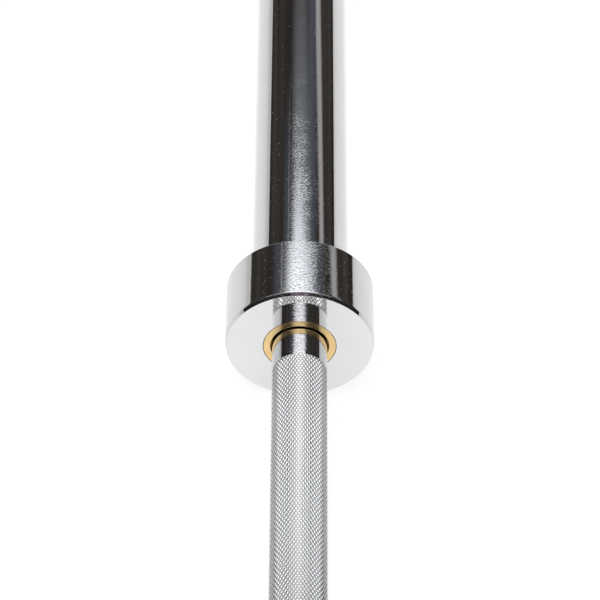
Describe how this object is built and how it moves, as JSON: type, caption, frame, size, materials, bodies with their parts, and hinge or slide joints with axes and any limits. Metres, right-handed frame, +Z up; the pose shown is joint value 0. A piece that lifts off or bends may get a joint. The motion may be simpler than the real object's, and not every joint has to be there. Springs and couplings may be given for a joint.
{
  "type": "olympic barbell",
  "caption": "Long straight steel bar with knurled grips and a free-turning chromed sleeve and collar at each end, which carries weight plates for lifting.",
  "frame": {"origin": "the middle of the shaft, on the bar's axis", "axes": "+X along the bar's axis, towards the end in the picture; +Z up with the bar lying level"},
  "size_m": [2.2, 0.076, 0.076],
  "materials": {
    "shaft_chrome": "satin",
    "polished_chrome": "polished",
    "bush_bronze": "satin",
    "washer_steel": "satin",
    "spring_steel": "satin",
    "seal_rubber": "matte"
  },
  "bodies": {
    "bar": {"shaft": "shaft_chrome", "right_shoulder_washer": "washer_steel", "right_thrust_washer": "washer_steel", "right_shaft_ring": "spring_steel", "left_shoulder_washer": "washer_steel", "left_thrust_washer": "washer_steel", "left_shaft_ring": "spring_steel"},
    "right_sleeve_assembly": {"right_collar": "polished_chrome", "right_sleeve": "polished_chrome", "right_inner_bush": "bush_bronze", "right_outer_bush": "bush_bronze", "right_end_cap": "polished_chrome", "right_cap_seal": "seal_rubber", "right_cap_ring": "spring_steel"},
    "left_sleeve_assembly": {"left_collar": "polished_chrome", "left_sleeve": "polished_chrome", "left_inner_bush": "bush_bronze", "left_outer_bush": "bush_bronze", "left_end_cap": "polished_chrome", "left_cap_seal": "seal_rubber", "left_cap_ring": "spring_steel"}
  },
  "joints": [
    {"name": "right_sleeve_spin", "type": "hinge", "parent": "bar", "child": "right_sleeve_assembly", "pos_m": [0.655, 0, 0], "axis": [1, 0, 0], "continuous": true},
    {"name": "left_sleeve_spin", "type": "hinge", "parent": "bar", "child": "left_sleeve_assembly", "pos_m": [-0.655, 0, 0], "axis": [1, 0, 0], "continuous": true}
  ]
}
